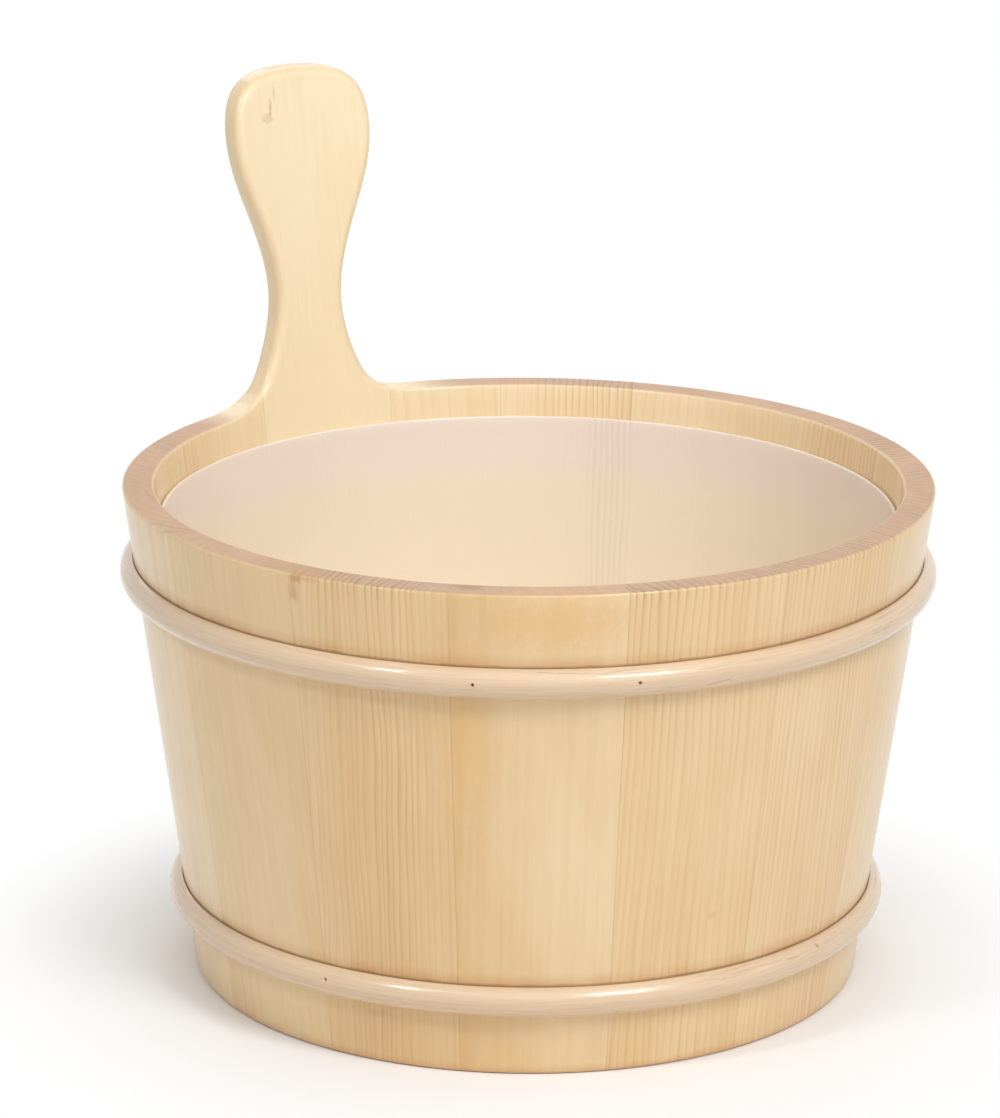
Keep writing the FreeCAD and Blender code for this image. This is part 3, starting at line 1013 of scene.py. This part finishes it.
def place_lamps(scene):
    """Square lamps, each turned towards the middle of the pail."""
    middle = Vector(LAMPS_AIM)
    for name, turn, rise, away, size, power in LAMPS:
        place = middle + away * direction(math.radians(turn), math.radians(rise))
        lamp = bpy.data.lights.new(name, "AREA")
        lamp.shape = "SQUARE"
        lamp.size = size
        lamp.energy = power
        holder = bpy.data.objects.new(name, lamp)
        aim = (middle - place).to_track_quat("-Z", "Y")
        holder.matrix_world = Matrix.Translation(place) @ aim.to_matrix().to_4x4()
        scene.collection.objects.link(holder)


def seen(tree):
    """1 for what the camera sees, straight, in gloss or through a clear piece, and 0 for what lights."""
    straight, glossy, clear = (Shade(tree).node("ShaderNodeLightPath", (), (), ray) for ray in (
        "Is Camera Ray", "Is Glossy Ray", "Is Transmission Ray"))
    return straight.math("MAXIMUM", straight.math("MAXIMUM", straight, glossy), clear)


def white_world(scene):
    """Surroundings that look white and light the pail weakly."""
    world = bpy.data.worlds.new("studio")
    world.use_nodes = True
    tree = world.node_tree
    light = tree.nodes["Background"]
    light.inputs["Color"].default_value = WHITE
    strength = seen(tree) * (1.0 - SURROUND) + SURROUND
    tree.links.new(strength.socket, light.inputs["Strength"])
    scene.world = world


def studio_floor(scene):
    """A round floor that keeps the pail's shadow and fades to the white backdrop."""
    radii = np.r_[0.0, np.geomspace(FLOOR_START, FLOOR_REACH, 30)][:, None]
    floor = surface("floor", [around_axis(radii, full_turn(96), 0.0)], {})
    if floor.data.polygons[0].normal.z < 0:
        floor.data.flip_normals()
    finish = Finish("floor", scene.piggin_colours, {"Roughness": 0.9, "Specular IOR Level": 0.1})
    place = finish.root.node("ShaderNodeTexCoord", (), (), "Object")
    grit = place.noise(40.0, 40.0, 1.0)
    finish.use("Base Color", finish.tint("floor").times(0.99 + grit * 0.01))
    fade = place.stretch(1.0, 1.0, 0.0).length().step(*FLOOR_FADE)
    white = finish.root.node("ShaderNodeEmission", (), {"Color": WHITE})
    lit = Shade(finish.tree, finish.shader.outputs[0])
    mixed = finish.root.node("ShaderNodeMixShader", (), {0: seen(finish.tree) * fade, 1: lit, 2: white})
    output = finish.tree.nodes["Material Output"]
    finish.tree.links.new(mixed.socket, output.inputs["Surface"])
    floor.data.materials.append(finish.material)


class PIGGIN_OT_stage(bpy.types.Operator):
    """Sets the camera, lamps, floor and plain surroundings"""

    bl_idname = "piggin.stage"
    bl_label = "Stage"

    def execute(self, context):
        scene = context.scene
        scene.view_settings.view_transform = "Standard"
        place_camera(scene)
        place_lamps(scene)
        white_world(scene)
        studio_floor(scene)
        return {"FINISHED"}


class PIGGIN_OT_staves(bpy.types.Operator):
    """Builds the handle stave and the fourteen staves round the pail"""

    bl_idname = "piggin.staves"
    bl_label = "Staves"

    def execute(self, context):
        sizes, colours = context.scene.piggin_sizes, context.scene.piggin_colours
        pine = wood("pale_pine", sizes, colours, MARKS)
        dress(handle_stave("handle_stave_wood", sizes), pine, "pail", "handle_stave")
        for index in range(FIRST_STAVE, LAST_STAVE + 1):
            piece = round_stave("stave_%02d_wood" % index, sizes, index)
            dress(piece, pine, "pail", "stave_%02d" % index)
        return {"FINISHED"}


class PIGGIN_OT_bottom(bpy.types.Operator):
    """Builds the three bottom boards"""

    bl_idname = "piggin.bottom"
    bl_label = "Bottom boards"

    def execute(self, context):
        sizes, colours = context.scene.piggin_sizes, context.scene.piggin_colours
        pine = wood("bottom_pine", sizes, colours, [])
        for index, place in enumerate(("left", "middle", "right")):
            node = "bottom_board_" + place
            low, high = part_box(node)
            piece = bottom_board(node + "_wood", sizes, index, low.x, high.x)
            dress(piece, pine, "pail", node)
        return {"FINISHED"}


class PIGGIN_OT_hoops(bpy.types.Operator):
    """Builds both cane hoops"""

    bl_idname = "piggin.hoops"
    bl_label = "Hoops"

    def execute(self, context):
        sizes, colours = context.scene.piggin_sizes, context.scene.piggin_colours
        strip = cane("half_round_cane", colours)
        for which, height in (("upper", sizes.upper_hoop), ("lower", sizes.lower_hoop)):
            piece = hoop(which + "_hoop_cane", sizes, height, which)
            dress(piece, strip, "pail", which + "_hoop")
        return {"FINISHED"}


class PIGGIN_OT_brads(bpy.types.Operator):
    """Builds the brads that pin the hoops"""

    bl_idname = "piggin.brads"
    bl_label = "Brads"

    def execute(self, context):
        sizes, colours = context.scene.piggin_sizes, context.scene.piggin_colours
        steel = dark_steel("brad_steel", colours)
        for which, height in (("upper", sizes.upper_hoop), ("lower", sizes.lower_hoop)):
            piece = brads(which + "_brads_steel", sizes, height, which)
            dress(piece, steel, "pail", which + "_hoop_brads")
        return {"FINISHED"}


class PIGGIN_OT_liner(bpy.types.Operator):
    """Builds the loose plastic liner"""

    bl_idname = "piggin.liner"
    bl_label = "Liner"

    def execute(self, context):
        sizes, colours = context.scene.piggin_sizes, context.scene.piggin_colours
        piece = liner_cup("liner_cup", sizes)
        dress(piece, plastic("milky_plastic", colours), "liner", "plastic_liner")
        return {"FINISHED"}


OPERATORS = (
    PIGGIN_OT_stage, PIGGIN_OT_staves, PIGGIN_OT_bottom, PIGGIN_OT_hoops,
    PIGGIN_OT_brads, PIGGIN_OT_liner)


class PIGGIN_PT_panel(bpy.types.Panel):
    """Lists the pieces with their sizes and colours"""

    bl_idname = "PIGGIN_PT_panel"
    bl_label = "Piggin"
    bl_space_type = "VIEW_3D"
    bl_region_type = "UI"
    bl_category = "Piggin"

    def draw(self, context):
        for operator in OPERATORS:
            self.layout.operator(operator.bl_idname)
        for group in (context.scene.piggin_sizes, context.scene.piggin_colours):
            for name in group.__annotations__:
                self.layout.prop(group, name)


CLASSES = (PigginSizes, PigginColours, *OPERATORS, PIGGIN_PT_panel)


def register():
    """Registers the classes and gives the scene its sizes and colours."""
    for item in CLASSES:
        bpy.utils.register_class(item)
    bpy.types.Scene.piggin_sizes = PointerProperty(type=PigginSizes)
    bpy.types.Scene.piggin_colours = PointerProperty(type=PigginColours)


def unregister():
    """Takes back what register did, in the other order."""
    del bpy.types.Scene.piggin_colours
    del bpy.types.Scene.piggin_sizes
    for item in reversed(CLASSES):
        bpy.utils.unregister_class(item)


def main():
    """Runs the operators in order."""
    register()
    bpy.ops.piggin.stage()
    bpy.ops.piggin.staves()
    bpy.ops.piggin.bottom()
    bpy.ops.piggin.hoops()
    bpy.ops.piggin.brads()
    bpy.ops.piggin.liner()


if __name__ == "__main__":
    main()
